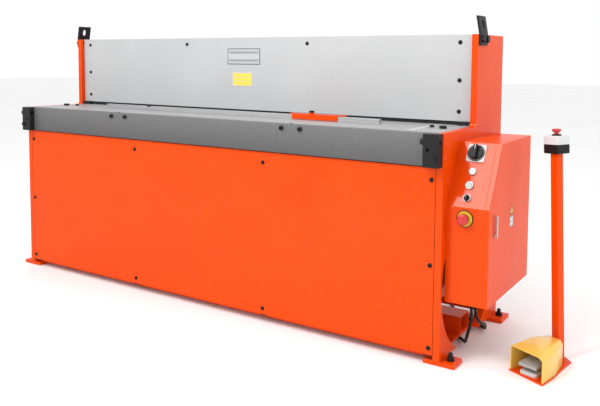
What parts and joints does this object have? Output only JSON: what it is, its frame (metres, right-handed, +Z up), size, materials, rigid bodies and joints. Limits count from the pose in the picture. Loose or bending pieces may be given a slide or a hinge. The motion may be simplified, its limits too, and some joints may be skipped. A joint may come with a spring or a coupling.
{
  "type": "metal shear",
  "caption": "Hydraulic guillotine shear for sheet metal with a front table, sheet guard, side control cabinet and a foot-switch stand.",
  "frame": {"origin": "on the floor, in the middle of the four anchor holes", "axes": "+X along the knife towards the control cabinet, +Y from the operator's side to the back, +Z up"},
  "size_m": [2.6855, 1.0645, 1.24],
  "materials": {
    "orange_paint": "gloss",
    "guard_paint": "satin",
    "ground_steel": "ground",
    "knife_steel": "ground",
    "black_oxide": "satin",
    "bronze": "satin",
    "chrome_rod": "polished",
    "grey_paint": "satin",
    "zinc": "satin",
    "label_sheet": "satin",
    "black_plastic": "matte",
    "light_plastic": "matte",
    "grey_plastic": "matte",
    "red_plastic": "gloss",
    "green_plastic": "gloss",
    "lamp_lens": "gloss",
    "yellow_paint": "satin",
    "cable_sheath": "matte"
  },
  "bodies": {
    "root": {"right_side_plate": "orange_paint", "left_side_plate": "orange_paint", "floor_feet": "orange_paint", "hex_screws": "black_oxide", "bottom_plate": "orange_paint", "tie_beams": "orange_paint", "front_panel": "orange_paint", "cover_straps": "black_oxide", "cover_screws": "black_oxide", "front_beam": "ground_steel", "table_plate": "ground_steel", "bed_beam": "orange_paint", "lower_knife": "knife_steel", "table_screws": "black_oxide", "label_plates": "label_sheet", "fence_bar": "ground_steel", "end_brackets": "black_oxide", "guard_panel": "guard_paint", "lifting_plates": "grey_paint", "ram_gibs": "bronze", "cylinder_barrels": "grey_paint", "hold_down_beam": "orange_paint", "oil_tank": "grey_paint", "motor": "grey_paint", "valve_block": "zinc", "hydraulic_pipes": "zinc", "gauge_rails": "zinc", "gauge_racks": "zinc", "scrap_chute": "zinc", "cabinet_body": "orange_paint", "door_hinges": "zinc", "switchgear": "light_plastic", "signal_lamp": "lamp_lens", "control_bezels": "black_plastic", "cable_glands": "black_plastic", "stand_post": "orange_paint", "stand_box": "light_plastic", "pedal_guard": "yellow_paint", "mains_cable": "cable_sheath", "unit_cable": "cable_sheath", "mains_coil": "cable_sheath", "mains_plug": "red_plastic"},
    "ram": {"ram_plate": "orange_paint", "ram_stiffeners": "orange_paint", "upper_knife": "knife_steel", "upper_knife_screws": "black_oxide", "cylinder_rods": "chrome_rod"},
    "hold_downs": {"hold_down_plungers": "chrome_rod"},
    "back_gauge": {"back_gauge": "ground_steel"},
    "gauge_shaft": {"gauge_shaft": "zinc"},
    "angle_stop": {"angle_stop": "orange_paint"},
    "stop_knob": {"stop_knob": "black_plastic"},
    "cabinet_door": {"cabinet_door": "orange_paint"},
    "door_latch": {"door_latch": "zinc"},
    "main_switch": {"main_switch_knob": "black_plastic"},
    "start_button": {"start_button": "green_plastic"},
    "selector": {"selector_knob": "black_plastic"},
    "door_estop": {"door_estop": "red_plastic"},
    "stand_estop": {"stand_estop": "red_plastic"},
    "treadle": {"treadle": "grey_plastic"}
  },
  "joints": [
    {"name": "ram_slide", "type": "slide", "parent": "root", "child": "ram", "axis": [0, 0, -1], "range_m": [0, 0.075]},
    {"name": "hold_down_slide", "type": "slide", "parent": "root", "child": "hold_downs", "axis": [0, 0, -1], "range_m": [0, 0.015]},
    {"name": "back_gauge_slide", "type": "slide", "parent": "root", "child": "back_gauge", "axis": [0, 1, 0], "range_m": [-0.1, 0.25]},
    {"name": "gauge_shaft_spin", "type": "hinge", "parent": "back_gauge", "child": "gauge_shaft", "pos_m": [0, 0.27, 0.764], "axis": [1, 0, 0], "range_deg": [-720, 290]},
    {"name": "angle_stop_slide", "type": "slide", "parent": "root", "child": "angle_stop", "axis": [1, 0, 0], "range_m": [-0.78, 0.15]},
    {"name": "stop_knob_turn", "type": "hinge", "parent": "angle_stop", "child": "stop_knob", "pos_m": [0.466, -0.11, 0.85], "axis": [0, 0, 1], "range_deg": [0, 270]},
    {"name": "cabinet_door_swing", "type": "hinge", "parent": "root", "child": "cabinet_door", "pos_m": [1.27, 0.217, 0.5], "axis": [0, 0, 1], "range_deg": [0, 20]},
    {"name": "door_latch_turn", "type": "hinge", "parent": "cabinet_door", "child": "door_latch", "pos_m": [1.28, -0.208, 0.468], "axis": [1, 0, 0], "range_deg": [0, 90]},
    {"name": "main_switch_turn", "type": "hinge", "parent": "root", "child": "main_switch", "pos_m": [1.193, -0.17602, 0.74619], "axis": [0, 0.8635, -0.5044], "range_deg": [0, 90]},
    {"name": "start_button_push", "type": "slide", "parent": "root", "child": "start_button", "axis": [0, 0.8635, -0.5044], "range_m": [0, 0.004], "stiffness_N_per_m": 400, "springref_m": -0.002},
    {"name": "selector_turn", "type": "hinge", "parent": "root", "child": "selector", "pos_m": [1.193, -0.26176, 0.59939], "axis": [0, 0.8635, -0.5044], "range_deg": [0, 90]},
    {"name": "door_estop_push", "type": "slide", "parent": "root", "child": "door_estop", "axis": [0, 1, 0], "range_m": [0, 0.005], "stiffness_N_per_m": 1000, "springref_m": -0.003},
    {"name": "stand_estop_push", "type": "slide", "parent": "root", "child": "stand_estop", "axis": [0.0439, -0.0214, -0.9988], "range_m": [0, 0.005], "stiffness_N_per_m": 1000, "springref_m": -0.003},
    {"name": "treadle_tilt", "type": "hinge", "parent": "root", "child": "treadle", "pos_m": [1.44059, -0.09592, 0.052], "axis": [0.9613, -0.2756, 0], "range_deg": [0, 6], "stiffness_Nm_per_rad": 20, "springref_deg": -4.58}
  ],
  "couplings": [
    {"joint": "hold_down_slide", "follows": "ram_slide", "ratio": 0.2},
    {"joint": "gauge_shaft_spin", "follows": "back_gauge_slide", "rad_per_m": -50}
  ]
}
